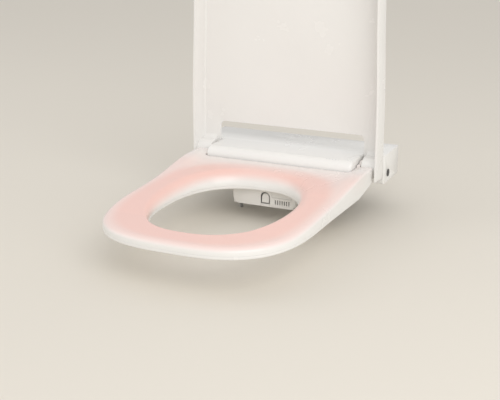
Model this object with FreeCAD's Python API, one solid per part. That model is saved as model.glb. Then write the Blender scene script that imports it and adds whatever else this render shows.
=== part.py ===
import FreeCAD, Part
import math
import os
from FreeCAD import Placement, Rotation, Vector

# Electric bidet seat: a heated seat and a lid hinged on one housing that is bolted to a toilet pan.
# Millimetres. The origin is midway between the two pan bolts, on the rim of the pan.
# +X is to the right of someone who faces the wall, +Y points to the wall, +Z up.
# The lid is drawn standing open and the seat lying down.

# ---- fixing to the pan
bolt_pitch = 155.0          # between the two pan bolts
bolt_r = 4.0
bolt_reach = 60.0           # bolt length below the rim
bolt_head_r = 6.2
bolt_head_h = 5.0
bolt_slack = 0.5            # half the play of the bolt in its slot
shoulder_gap = 0.2          # the thicker shank under the head to the slot
bolt_adjust = 20.0          # how far the bracket can be shifted along its slots
bracket_inset = 24.0        # end of the hinge bar to the end of the bracket
bracket_back = 45.0
bracket_t = 3.0
unclip_travel = 35.0        # the housing slides this far forward to come off the bracket
lug_w = 8.0                 # upright lug of the bracket that the latch hooks behind
lug_h = 8.0
lug_y = 33.0

# ---- housing
house_half = 190.0
house_back = 157.0
deck_z = 57.0
cheek_y = 66.0              # front face of the cheeks
arm_recess = 41.0           # width left beside the hinge bar for the arms of seat and lid
bar_front = -9.5
bar_nose_r = 16.0
bar_end_r = 5.0
edge_r = 3.5
cover_wall = 2.8
cover_foot = 0.8            # lower rim of the cover above the pan rim
base_t = 3.0
screw_r = 1.5
screw_head_r = 3.2
screw_head_h = 1.6
boss_r = 4.5
boss_inset = 9.5            # from the outer faces to the bosses near them
fit_gap = 0.3               # between pieces that are dropped into place
run_gap = 0.06              # radial play of a shaft in its bore

# ---- hinge
hinge_y = 43.0
hinge_z = 37.0
shaft_r = 5.0
bush_wall = 2.0
shaft_hold = 37.0           # length of a hinge shaft inside the bar
shaft_cover = 9.0           # outer end of a hinge shaft to the side of the housing
damper_r = 12.0
damper_hold = 69.0          # end of the bar to the closed end of a damper
damper_end = 3.0
knuckle_r = 20.0
cove_r = 9.0                # hollow curve from a knuckle up to the lid
lug_r = 12.5
lug_thick = 5.6
lug_side_gap = 1.6          # bar end to seat lug
lug_knuckle_gap = 0.8       # seat lug to lid knuckle

# ---- seat
mid_y = -221.0              # widest line of the seat and the lid
seat_gap = 6.2              # side of the seat to the side of the lid
nose_gap = 7.1              # nose of the seat to the nose of the lid
ear_flare = 4.0             # extra half-width of the ears
ear_flare_from = -230.0
ear_flare_to = -30.0
ear_rise = 14.0             # how far the underside climbs towards the back of the ears
ear_rise_from = -62.0
seat_foot = 3.0
seat_rear = -12.0           # rear face between the ears
ear_back = 22.0             # rear face of the ears
seat_dish = 6.0             # hollow between the ears
dish_half = 140.0           # half-width of its level part
dish_side = 25.0            # width over which it rises to an ear
seat_wall = 2.6
seat_split = 9.0            # parting line of the two seat shells
ring_side = 64.6            # width of the ring at its sides and at its nose
ring_nose = 55.9
hole_back = -77.0
hole_power = 2.4            # squareness of the opening
funnel_nose_w = 6.0         # the opening's edge slopes down over this width at the nose
funnel_rear_w = 24.0        # and over this width from its middle to the rear
funnel_spread = 200.0       # it widens over this length
funnel_top = 31.4           # top of that slope at the middle of the opening
funnel_foot = 8.0
funnel_tilt = 0.06
pad_r = 9.0                 # bumpers under the seat
pad_rear = (30.6, -110.0)   # in from the widest line, and along Y
pad_front = (47.6, -345.0)
sensor_w = 24.0
sensor_len = 40.0
sensor_h = 7.0
sensor_inset = 21.6
sensor_back = 26.0          # widest line to the middle of the sensor
foil_drop = 0.2
foil_t = 0.6
seat_heights = ((-440.0, 21.6), (-340.0, 22.6), (-280.0, 27.0), (-220.0, 29.8), (-160.0, 33.0),
                (-100.0, 39.6), (-40.0, 45.0), (30.0, 45.0))

# ---- lid (sizes as if it were closed)
lid_gap = 0.2               # side of the lid to the side of the housing
lid_front = -442.0
lid_flare = 6.0             # extra half-width at the rear
flare_from = -270.0
flare_to = -40.0
lid_wall = 4.0
flange_wall = 3.4
lid_foot = 9.0              # rim of the closed lid above the pan rim
lid_edge_r = 8.0
lid_pad_from = 35.0         # nose of the lid to its bumpers
lid_pad_len = 20.0
notch_gap = 2.0             # end of the hinge bar to the lid's cut-out
notch_y = -14.0
notch_r = 10.0
arm_sweep_r = 21.0          # rounded end of the arms about the hinge

# ---- nozzle block
nozzle_x = 1.0
bezel_left = -65.0
bezel_right = 61.5
bezel_y = -62.0
bezel_t = 2.5
bezel_low = -31.0
bezel_top = 2.0
bezel_corner_r = 12.0
arch_half = 9.5
arch_top = -3.0
arch_low = -26.0
slot_count = 7
slot_pitch = 4.53
slot_w = 1.9
slot_first_x = 21.5
slot_low = -25.0
slot_high = -16.0
wall_t = 2.0                # walls of the nozzle block
flap_left = 15.0
flap_right = 53.5
flap_low = -11.5
flap_t = 1.8
flap_gap = 0.5
flap_pin_r = 0.6
flap_knuckle_r = 1.25
flap_axis_z = -1.2

# ---- wand, sizes along and across its sloping line
wand_slope = 28.0
wand_z = -15.3              # height of the wand's centre line at the bezel face
wand_r = 7.1
wand_drop = 7.9             # centre line to the flat underside
tip_len = 16.0
tube_end = 66.0
rack_half = 4.5
rack_low = 5.0
rack_pitch_h = 5.0          # pitch line above the centre line
wand_stroke = 55.0
tooth_module = 1.0
pinion_teeth = 10
pinion_s = 76.0             # where the pinion meets the rack
rack_addendum = 0.55
tooth_play = 0.12
guide_wall = 1.6
slide_gap = 0.1
feed_r = 2.0
feed_wall = 0.7
feed_start = 72.0
feed_bend_r = 4.0
jet_r = 0.8
jet_pitch = 2.5
wand_bore_r = 3.0
motor_len = 23.5
motor_gap = 5.5

# ---- ducts, blower and deodoriser
duct_left = 16.0
duct_right = 52.5
duct_t = 1.2
dryer_end = 63.0
dryer_depth = 12.2
dryer_low = 25.0            # level run of the warm-air duct
dryer_high = 38.0
fin_count = 6
fin_from = 30.0
fin_to = 54.0
odour_end = 40.0
odour_low = 9.0             # level run of the deodoriser duct
odour_high = 21.0
odour_in = 18.0             # its way to the filter, from the middle of the fan
odour_out = 10.0
odour_turn = 22.0
blower_x = 46.0
blower_y = 92.0
blower_r = 28.0
blower_low = 20.0
blower_high = 44.0
impeller_r = 22.0
blade_count = 14
fan_x = 102.0
fan_y = 98.0
fan_r = 22.0
fan_low = 12.0
fan_high = 36.0
rotor_r = 17.0
rotor_blades = 7
spindle_r = 1.5
filter_half = 22.0
filter_front = 56.0
filter_back = 74.0
filter_high = 44.0

# ---- water and power
inlet_inset = 70.0          # side of the housing to the inlet
inlet_r = 10.48             # half-inch thread
inlet_reach = 16.0
inlet_bore_r = 6.0
inlet_shoulder = 1.5
inlet_flange_r = 14.0
inlet_neck_r = 9.0
coupling_z = 16.0           # where the inlet meets its valve
solenoid_w = 32.0
solenoid_d = 28.0
solenoid_high = 34.0
coil_high = 50.0
heater_right = -22.0
heater_front = 60.0
heater_high = 46.0
heater_lid = 4.0
heater_space = 28.0         # inlet to water heater
pump_space = 16.0           # end of the heater to the end of the pump
pump_r = 12.0
pump_right = -30.0
pump_back = 20.2            # inner face of the cover to the pump
pump_foot = 4.0
pipe_z = 25.0
pipe_r = 3.5
pipe_wall = 1.0
valve_half = 12.0
valve_front = 60.0
valve_back = 84.0
valve_top = 36.0
gland_inset = 40.0          # side of the housing to the cable
gland_back = 38.2           # inner face of the cover to the cable
gland_r = 8.0
cable_r = 3.6
supply_left = 16.0
supply_right = 76.0
supply_high = 42.0
board_left = 84.0
board_inset = 15.2          # inner face of the cover to the board's end
board_back_gap = 3.2
board_z = 14.0
board_t = 1.6
button_y = 92.0
button_z = 17.5
button_r = 7.0
button_stand = 0.9
button_travel = 1.5
release_w = 26.0
release_h = 14.0
release_travel = 3.0
light_count = 5
light_inset = 52.0          # end of the bar to the first light
light_pitch = 6.0
light_y = 3.0
light_r = 1.2

# ---- worked out from the sizes above
bar_half = house_half - arm_recess
bracket_half = bar_half - bracket_inset
shaft_inner = bar_half - shaft_hold
shaft_outer = house_half - shaft_cover
damper_inner = bar_half - damper_hold
notch_half = bar_half + notch_gap
light_first_x = bar_half - light_inset
lid_half = house_half - lid_gap - lid_flare
seat_half = lid_half - seat_gap
seat_front = lid_front + nose_gap
hole_half = seat_half - ring_side
hole_len = (hole_back - seat_front - ring_nose) / 2
hole_mid_y = hole_back - hole_len
inner_half = house_half - cover_wall
inner_back = house_back - cover_wall
inner_top = deck_z - cover_wall
bar_inner = bar_half - cover_wall
bar_inner_front = bar_front + cover_wall
cheek_inner = cheek_y + cover_wall
base_z = bracket_t
floor_z = base_z + base_t
bore_r = shaft_r + run_gap
bush_r = shaft_r + bush_wall
flap_axis_y = bezel_y + flap_knuckle_r
lug_in = bar_half + lug_side_gap
lug_out = lug_in + lug_thick
knuckle_in = lug_out + lug_knuckle_gap
slope = math.radians(wand_slope)
rise = math.tan(slope)
pinion_r = tooth_module * pinion_teeth / 2
block_floor = (wand_z + bezel_t * rise - bezel_low) * math.cos(slope)
block_roof = wand_r + slide_gap + guide_wall + fit_gap
light_xs = [light_first_x + light_pitch * i for i in range(light_count)]
light_top = deck_z - bar_nose_r + math.sqrt(bar_nose_r ** 2 - (bar_front + bar_nose_r - light_y) ** 2)
card_z = inner_top - 3.0    # upper face of the indicator card
dryer_roof = block_roof - fit_gap
dryer_floor = dryer_roof - dryer_depth
pump_y = inner_back - pump_back
pump_z = floor_z + pump_foot + pump_r
inlet_x = inlet_inset - house_half
inlet_y = pump_y - pump_r - 2.0
heater_left = inlet_x + heater_space
heater_back = pump_y - pump_r - 14.0
pump_left = heater_left + pump_space
gland_x = house_half - gland_inset
gland_y = inner_back - gland_back
supply_front = blower_y + blower_r + 4.0
board_front = supply_front + 4.0
board_back = inner_back - board_back_gap
board_right = inner_half - board_inset
rack_end = pinion_s + wand_stroke + 3.0
parts = {}


def box(x0, x1, y0, y1, z0, z1):
    return Part.makeBox(x1 - x0, y1 - y0, z1 - z0, Vector(x0, y0, z0))


def rod(r, start, end):
    a = Vector(*start)
    d = Vector(*end) - a
    return Part.makeCylinder(r, d.Length, a, d)


def pipe(outer, inner, start, end):
    return rod(outer, start, end).cut(rod(inner, start, end))


def prism_x(points, x0, x1):
    """A YZ outline drawn out along X."""
    ring = [Vector(x0, y, z) for y, z in points]
    ring.append(ring[0])
    return Part.Face(Part.makePolygon(ring)).extrude(Vector(x1 - x0, 0, 0))


def fuse(shapes):
    return shapes[0].multiFuse(shapes[1:]).removeSplitter() if len(shapes) > 1 else shapes[0]


def mirror(shape):
    return shape.mirror(Vector(0, 0, 0), Vector(1, 0, 0))


def keep(name, shape):
    parts[name] = shape


def tilt(shape):
    """Places a shape drawn with +Y up the wand's line and the origin on the bezel's front face."""
    turned = shape.copy()
    line = Placement(Vector(nozzle_x, bezel_y, wand_z), Rotation(Vector(1, 0, 0), wand_slope))
    turned.Placement = line.multiply(turned.Placement)
    return turned


def line_z(y, offset):
    """Height at y of a line that runs parallel to the wand, offset square to it."""
    return wand_z + (y - bezel_y) * rise + offset / math.cos(slope)


def line_y(z, offset):
    """Where that line reaches the height z."""
    return bezel_y + (z - wand_z - offset / math.cos(slope)) / rise


# ---- housing shells and fixing

def bar_profile(inset):
    """Side outline of the hinge bar, set in by a wall."""
    front = bar_front + inset
    top = deck_z - inset
    r = bar_nose_r - inset
    c = Vector(0, front + r, top - r)
    low = cover_foot - (1.0 if inset else 0.0)
    back = cheek_y + cover_wall + 1.0
    arc = Part.Arc(Vector(0, front, c.z), c + Vector(0, -r, r) * math.sqrt(0.5), Vector(0, c.y, top))
    ends = [Vector(0, c.y, top), Vector(0, back, top), Vector(0, back, low), Vector(0, front, low),
            Vector(0, front, c.z)]
    edges = [arc.toShape()]
    for a, b in zip(ends, ends[1:]):
        edges.append(Part.makeLine(a, b))
    return Part.Face(Part.Wire(edges))


def bar_solid(inset):
    half = bar_half - inset
    bar = bar_profile(inset)
    bar.translate(Vector(-half, 0, 0))
    return bar.extrude(Vector(2 * half, 0, 0))


def pick_edges(shape, test):
    return [e for e in shape.Edges if test(e.BoundBox)]


def cover_outside():
    bar = bar_solid(0.0)
    ends = pick_edges(bar, lambda b: b.XLength < 0.01 and abs(abs(b.XMin) - bar_half) < 0.01
                      and b.ZMax > deck_z - bar_nose_r - 0.1 and b.YMax < cheek_y + 10
                      and b.ZMin > cover_foot)
    bar = bar.makeFillet(bar_end_r, ends)
    block = box(-house_half, house_half, cheek_y, house_back, cover_foot, deck_z)
    corners = pick_edges(block, lambda b: (b.ZMin > deck_z - 0.01 and b.YMax < house_back - 0.01)
                         or (b.ZMin > deck_z - 0.01 and b.XLength < 0.01)
                         or (b.ZLength > 1 and b.YMax < house_back - 0.01))
    return fuse([block.makeFillet(edge_r, corners), bar])


def boss_places():
    near = (bar_inner - boss_inset + cover_wall, bar_inner_front + boss_inset + 8)
    front = (house_half - boss_inset, cheek_inner + boss_r + 1)
    back = (house_half - boss_inset, house_back - boss_inset)
    return [(s * x, y) for x, y in (near, front, back) for s in (-1, 1)]


def housing_cover():
    room = box(-inner_half, inner_half, cheek_inner, inner_back, cover_foot - 1, inner_top)
    inside = fuse([bar_solid(cover_wall), room])
    cover = cover_outside().cut(inside)
    bosses = [rod(boss_r, (x, y, floor_z), (x, y, inner_top + 1)) for x, y in boss_places()]
    hangers = [light_xs[0] - 9, light_xs[-1] + 9]
    bosses += [rod(2.0, (x, light_y + 5, card_z), (x, light_y + 5, inner_top + 1)) for x in hangers]
    cover = fuse([cover] + bosses)
    holes = [rod(screw_r, (x, y, floor_z - 1), (x, y, floor_z + 14)) for x, y in boss_places()]
    holes += [rod(light_r + 0.1, (x, light_y, card_z), (x, light_y, deck_z + 1)) for x in light_xs]
    holes.append(rod(bore_r, (-bar_half - 1, hinge_y, hinge_z), (bar_half + 1, hinge_y, hinge_z)))
    top = line_z(bar_inner_front, block_roof + wall_t) + fit_gap
    holes.append(box(bezel_left - fit_gap, bezel_right + fit_gap, bar_front - 1, bar_inner_front + 1,
                     0, top))
    holes.append(rod(button_r + fit_gap, (inner_half - 1, button_y, button_z),
                     (house_half + 1, button_y, button_z)))
    w = release_w / 2 + fit_gap
    h = release_h / 2 + fit_gap
    holes.append(box(-house_half - 1, -inner_half + 1, button_y - w, button_y + w,
                     button_z - h, button_z + h))
    keep("housing_cover", cover.cut(Part.makeCompound(holes)))


def base_plate():
    inset = cover_wall + fit_gap
    side = house_half - inset
    bar_side = bar_half - inset
    plate = fuse([box(-bar_side, bar_side, bar_front + inset, cheek_y + 10, base_z, floor_z),
                  box(-side, side, cheek_y + inset, house_back - inset, base_z, floor_z)])
    slot_out = bolt_pitch / 2 + bolt_head_r + 3
    slot_in = bolt_pitch / 2 - bolt_head_r - 3
    block_end = line_y(floor_z, -block_floor) + fit_gap
    cuts = [box(-slot_out, slot_out, bar_front, block_end, 0, floor_z + 1)]
    for s in (-1, 1):
        a, b = sorted((s * slot_in, s * slot_out))
        cuts.append(box(a, b, 0, bolt_head_r + 3 + unclip_travel, 0, floor_z + 1))
    lug_end = lug_y + bracket_t + unclip_travel
    cuts.append(box(-bracket_half - 1, -bracket_half + lug_w + 1, lug_y - 1, lug_end, 0, floor_z + 1))
    cuts += [rod(screw_r + 0.3, (x, y, 0), (x, y, floor_z + 1)) for x, y in boss_places()]
    cuts.append(rod(inlet_r + 1.5 + fit_gap, (inlet_x, inlet_y, 0), (inlet_x, inlet_y, floor_z + 1)))
    cuts.append(rod(gland_r + 0.2, (gland_x, gland_y, 0), (gland_x, gland_y, floor_z + 1)))
    for i in range(5):
        x = fan_x - 10 + 5 * i
        cuts.append(box(x - 1.2, x + 1.2, fan_y - 9, fan_y + 9, 0, floor_z + 1))
    keep("base_plate", plate.cut(Part.makeCompound(cuts)))


def mounting_bracket():
    front = bar_inner_front + fit_gap
    plate = box(-bracket_half, bracket_half, front, bracket_back, 0, bracket_t)
    block_end = line_y(bracket_t, -block_floor) + fit_gap
    cuts = [box(bezel_left - 1, bezel_right + 1, front - 1, block_end, -1, bracket_t + 1)]
    r = bolt_r + bolt_slack
    for s in (-1, 1):
        x = s * bolt_pitch / 2
        cuts.append(rod(r, (x, 0, -1), (x, 0, bracket_t + 1)))
        cuts.append(rod(r, (x, bolt_adjust, -1), (x, bolt_adjust, bracket_t + 1)))
        cuts.append(box(x - r, x + r, 0, bolt_adjust, -1, bracket_t + 1))
    lug = box(-bracket_half, -bracket_half + lug_w, lug_y, lug_y + bracket_t, 0, bracket_t + lug_h)
    keep("mounting_bracket", fuse([plate.cut(Part.makeCompound(cuts)), lug]))


def fixing_bolts():
    bolts = []
    for s in (-1, 1):
        x = s * bolt_pitch / 2
        top = bracket_t + bolt_head_h
        head = rod(bolt_head_r, (x, 0, bracket_t), (x, 0, top))
        slot = box(x - bolt_head_r, x + bolt_head_r, -0.8, 0.8, top - 1.8, top + 1)
        shoulder = rod(bolt_r + bolt_slack - shoulder_gap, (x, 0, 0), (x, 0, bracket_t))
        bolts.append(fuse([head.cut(slot), shoulder, rod(bolt_r, (x, 0, -bolt_reach), (x, 0, 0))]))
    keep("fixing_bolts", Part.makeCompound(bolts))


def cover_screws():
    screws = []
    for x, y in boss_places():
        head = rod(screw_head_r, (x, y, base_z - screw_head_h), (x, y, base_z))
        screws.append(fuse([head, rod(screw_r, (x, y, base_z), (x, y, floor_z + 12))]))
    keep("cover_screws", Part.makeCompound(screws))


# ---- nozzle block in front of and below the hinge bar

def block_profile(floor, roof, top, end):
    """Side outline of the block: upright front, flat lip, then two lines along the wand's slope."""
    front = bezel_y + bezel_t
    return [(front, line_z(front, -floor)), (front, top), (line_y(top, roof), top),
            (end, line_z(end, roof)), (end, line_z(end, -floor))]


def spray_well():
    end = line_y(floor_z, -block_floor)
    roof_end = bar_inner_front
    inner_floor = block_floor - wall_t
    outer = block_profile(block_floor, block_roof, bezel_top - wall_t, end)
    tub = prism_x(outer, bezel_left, bezel_right)
    inner = block_profile(inner_floor, block_roof + 60, bezel_top + 60, end + 40)
    tub = tub.cut(prism_x(inner, bezel_left + wall_t, bezel_right - wall_t))
    tub = tub.cut(box(-100, 100, roof_end, end + 50, line_z(roof_end, block_roof) - 14, 80))
    corner = pick_edges(tub, lambda b: b.XLength < 0.01 and b.ZMin < bezel_low + 1 and b.YLength > 20
                        and (abs(b.XMin - bezel_left) < 0.01 or abs(b.XMin - bezel_right) < 0.01))
    keep("spray_well", tub.makeChamfer(wall_t * 0.8, corner))


def well_cover():
    end = bar_inner_front - fit_gap
    front = bezel_y + bezel_t
    top = bezel_top
    under = bezel_top - wall_t
    roof = block_roof + wall_t
    outline = [(front, under), (front, top), (line_y(top, roof), top), (end, line_z(end, roof)),
               (end, line_z(end, block_roof)), (line_y(under, block_roof), under)]
    keep("well_cover", prism_x(outline, bezel_left, bezel_right))


def nozzle_bezel():
    back = bezel_y + bezel_t
    r = bezel_corner_r
    panel = box(bezel_left, bezel_right, bezel_y, back, bezel_low, bezel_top)
    lower = pick_edges(panel, lambda b: b.YLength > 1 and b.ZMax < bezel_low + 0.01)
    panel = panel.makeFillet(r, lower)
    arch_c = arch_top - arch_half
    cuts = [rod(arch_half, (nozzle_x, bezel_y - 1, arch_c), (nozzle_x, back + 1, arch_c)),
            box(nozzle_x - arch_half, nozzle_x + arch_half, bezel_y - 1, back + 1, arch_low, arch_c)]
    for s in (-1, 1):
        x = nozzle_x + s * arch_half
        cuts.append(box(x - 0.4, x + 0.4, bezel_y - 1, bezel_y + 0.8, bezel_low - 1, arch_low + 1))
    for i in range(slot_count):
        x = slot_first_x + slot_pitch * i
        cuts.append(box(x - slot_w / 2, x + slot_w / 2, bezel_y - 1, back + 1, slot_low, slot_high))
    cuts.append(box(flap_left - flap_gap, flap_right + flap_gap, bezel_y - 1, back + 1,
                    flap_low - flap_gap, flap_axis_z + flap_knuckle_r + flap_gap))
    cuts.append(flap_rod(flap_pin_r, 4.0))
    keep("nozzle_bezel", panel.cut(Part.makeCompound(cuts)))


def flap_rod(r, over):
    """A cylinder on the flap's axis that runs past both its ends."""
    axis = (flap_axis_y, flap_axis_z)
    return rod(r, (flap_left - over, *axis), (flap_right + over, *axis))


def dryer_flap():
    leaf = box(flap_left, flap_right, bezel_y, bezel_y + flap_t, flap_low, flap_axis_z)
    keep("dryer_flap", fuse([leaf, flap_rod(flap_knuckle_r, 0.0)]).cut(flap_rod(flap_pin_r + run_gap, 1.0)))
    keep("flap_pin", flap_rod(flap_pin_r, 4.0))


# ---- wand and its drive

def wand_section(grow, s0, s1):
    """Round-topped, flat-bottomed bar along the wand's line."""
    r = wand_r + grow
    low = -wand_drop - grow
    return fuse([rod(r, (0, s0, 0), (0, s1, 0)), box(-r, r, s0, s1, low, 0)])


def wand():
    cut_front = box(-30, 30, -40, 0, -60, 60)
    upright = Placement(Vector(0, 0, 0), Rotation(Vector(1, 0, 0), -wand_slope))
    cut_front.Placement = upright
    cut_front.translate(Vector(0, 0.5, 0))
    tip = wand_section(0.0, -6.0, tip_len).cut(cut_front)
    jets = [rod(jet_r, (jet_pitch * i, 8, -20), (jet_pitch * i, 8, 0)) for i in (-1, 0, 1)]
    tip = tip.cut(Part.makeCompound(jets)).cut(rod(wand_bore_r, (0, 6, 0), (0, tip_len, 0)))
    keep("nozzle_tip", tilt(tip))
    tube = wand_section(0.0, tip_len, tube_end).cut(rod(wand_bore_r, (0, tip_len, 0), (0, tube_end, 0)))
    keep("wand_tube", tilt(tube))
    bar = box(-rack_half, rack_half, tube_end, rack_end, -rack_low, rack_pitch_h - 1.1)
    teeth = []
    count = int((rack_end - tube_end) / (math.pi * tooth_module))
    for i in range(-2, count):
        mid = pinion_s + math.pi * tooth_module * (i + 0.5)
        if mid + 1.2 < rack_end and mid > pinion_s - 4.5:
            teeth.append(rack_tooth(mid))
    bore = rod(feed_r + run_gap, (0, tip_len - 6, 0), (0, rack_end + 1, 0))
    keep("wand_rack", tilt(fuse([bar] + teeth).cut(bore)))


def rack_tooth(mid):
    half = math.pi * tooth_module / 4 - tooth_play / 2
    lean = math.tan(math.radians(20))
    top = rack_addendum
    low = -1.2
    outline = [(mid - half + low * lean, rack_pitch_h + low), (mid + half - low * lean, rack_pitch_h + low),
               (mid + half - top * lean, rack_pitch_h + top), (mid - half + top * lean, rack_pitch_h + top)]
    return prism_x(outline, -rack_half + 0.5, rack_half - 0.5)


def involute(base, r):
    """Polar angle of an involute at radius r."""
    a = math.acos(base / r)
    return math.tan(a) - a


def pinion_tooth(angle):
    """One tooth centred on an angle that is measured from straight down towards +Y."""
    base = pinion_r * math.cos(math.radians(20))
    half = (math.pi * tooth_module / 4 - tooth_play / 2) / pinion_r + involute(base, pinion_r)
    tip = pinion_r + 0.9 * tooth_module
    root = pinion_r - 1.2 * tooth_module
    radii = [root, base] + [base + (tip - base) * k / 5 for k in range(1, 6)]
    side = [(r, half - (involute(base, r) if r > base else 0.0)) for r in radii]
    ring = side + [(r, -a) for r, a in reversed(side)]
    points = [(r * math.sin(angle + a), -r * math.cos(angle + a)) for r, a in ring]
    return prism_x(points, -rack_half + 0.5, rack_half - 0.5)


def drive_pinion():
    mid = (0, pinion_s, rack_pitch_h + pinion_r)
    core = rod(pinion_r - 1.1 * tooth_module, (-rack_half + 0.5, 0, 0), (rack_half - 0.5, 0, 0))
    teeth = [pinion_tooth(2 * math.pi * i / pinion_teeth) for i in range(pinion_teeth)]
    spindle = rod(spindle_r, (-rack_half - 18, 0, 0), (0, 0, 0))
    gear = fuse([core, spindle] + teeth)
    gear.translate(Vector(*mid))
    keep("drive_pinion", tilt(gear))
    x1 = -rack_half - motor_gap
    x0 = x1 - motor_len
    r = pinion_r + 1.3
    body = rod(r, (x0, mid[1], mid[2]), (x1, mid[1], mid[2]))
    bore = rod(spindle_r + run_gap, (x0 + 8, mid[1], mid[2]), (x1 + 1, mid[1], mid[2]))
    keep("wand_motor", tilt(body.cut(bore)))


def wand_guide():
    gap = slide_gap
    outer = wand_section(gap + guide_wall, 6.0, tube_end - 4)
    sleeve = outer.cut(wand_section(gap, 0.0, tube_end))
    foot = box(-3, 3, 8, tube_end - 4, -block_floor + wall_t, -wand_drop - gap - 0.5)
    half = rack_half + 0.2 + guide_wall
    rail_end = pinion_s + 28
    rail = box(-half, half, tube_end - 6, rail_end, -rack_low - gap - guide_wall, 2)
    rail = rail.cut(box(-rack_half - 0.2, rack_half + 0.2, tube_end - 10, rail_end + 1, -rack_low - gap, 5))
    rail = rail.cut(wand_section(gap, 0.0, tube_end + 0.5))
    strip = box(-3, 3, 8, tube_end + 14, -block_floor + wall_t, -block_floor + wall_t + 1.5)
    leg = box(-3, 3, tube_end + 0.5, tube_end + 14, -block_floor + wall_t, -rack_low - gap - 0.5)
    mid = rack_pitch_h + pinion_r
    outer_x = -rack_half - motor_gap
    under = -rack_low - gap - guide_wall
    post = box(outer_x, outer_x + 1.5, pinion_s - 5, pinion_s + 9, under, mid + 3)
    post = post.cut(rod(spindle_r + 1, (-30, pinion_s, mid), (30, pinion_s, mid)))
    tie = box(outer_x, -half + 0.5, pinion_s - 5, pinion_s + 9, under, -rack_low - gap)
    keep("wand_guide", tilt(fuse([sleeve, foot, strip, rail, leg, post, tie])))


def arc_path(points, radius):
    """A path of straight runs with one arc of the given radius at each corner."""
    vecs = [Vector(*p) for p in points]
    edges = []
    start = vecs[0]
    for a, b, c in zip(vecs, vecs[1:], vecs[2:]):
        into = (b - a).normalize()
        out = (c - b).normalize()
        half = math.acos(max(-1, min(1, into.dot(out)))) / 2
        cut = radius * math.tan(half)
        p = b - into * cut
        q = b + out * cut
        middle = b + (out - into).normalize() * (radius / math.cos(half) - radius)
        edges.append(Part.makeLine(start, p))
        edges.append(Part.Arc(p, middle, q).toShape())
        start = q
    edges.append(Part.makeLine(start, vecs[-1]))
    return Part.Wire(edges)


def bent_pipe(points, radius, outer, inner):
    path = arc_path(points, radius)
    a = Vector(*points[0])
    d = Vector(*points[1]) - a
    rings = [Part.Wire(Part.makeCircle(r, a, d)) for r in (outer, inner)]
    full = path.makePipeShell([rings[0]], True, False)
    core = path.makePipeShell([rings[1]], True, False)
    return full.cut(core)


def feed_pipe():
    start = Vector(nozzle_x, bezel_y + feed_start * math.cos(slope), wand_z + feed_start * math.sin(slope))
    bend_s = rack_end + 8.5
    bend = Vector(nozzle_x, bezel_y + bend_s * math.cos(slope), wand_z + bend_s * math.sin(slope))
    down = (nozzle_x, bend.y, valve_top)
    keep("feed_pipe", bent_pipe([tuple(start), tuple(bend), down], feed_bend_r, feed_r, feed_r - feed_wall))
    body_top = valve_top - 6
    body = box(-valve_half, valve_half, valve_front, valve_back, floor_z, body_top)
    neck = rod(4.0, (nozzle_x, bend.y, body_top), (nozzle_x, bend.y, valve_top))
    motor = rod(8.0, (0, valve_back - 8, body_top), (0, valve_back - 8, valve_top + 8))
    keep("diverter_valve", fuse([body, neck, motor]))


# ---- warm air and deodoriser

def duct_profile(roof, floor, top_front, low_front, top_back, low_back, end, inset):
    """Flat mouth behind the bezel, a run along the slope, then level to the end."""
    front = bezel_y + bezel_t + (fit_gap if inset == 0 else -1)
    stop = end if inset == 0 else end + 1
    roof -= inset
    floor += inset
    top_front -= inset
    low_front += inset
    top_back -= inset
    low_back += inset
    return [(front, top_front), (line_y(top_front, roof), top_front), (line_y(top_back, roof), top_back),
            (stop, top_back), (stop, low_back), (line_y(low_back, floor), low_back),
            (line_y(low_front, floor), low_front), (front, low_front)]


def dryer_duct():
    mouth_top = bezel_top - wall_t - fit_gap
    sizes = (dryer_roof, dryer_floor, mouth_top, flap_low - 1, dryer_high, dryer_low, dryer_end)
    outer = prism_x(duct_profile(*sizes, 0), duct_left, duct_right)
    inner = prism_x(duct_profile(*sizes, duct_t), duct_left + duct_t, duct_right - duct_t)
    keep("dryer_duct", outer.cut(inner))
    fins = []
    low = dryer_low + duct_t
    high = dryer_high - duct_t
    left = duct_left + duct_t
    right = duct_right - duct_t
    for i in range(fin_count):
        x = left + 3 + i * (right - left - 6) / (fin_count - 1)
        fins.append(box(x - 0.4, x + 0.4, fin_from, fin_to, low, high))
    for y in (fin_from + 4, (fin_from + fin_to) / 2, fin_to - 4):
        fins.append(rod(1.2, (left + 2, y, (low + high) / 2), (right - 2, y, (low + high) / 2)))
    keep("dryer_heater", fuse(fins))


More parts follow.
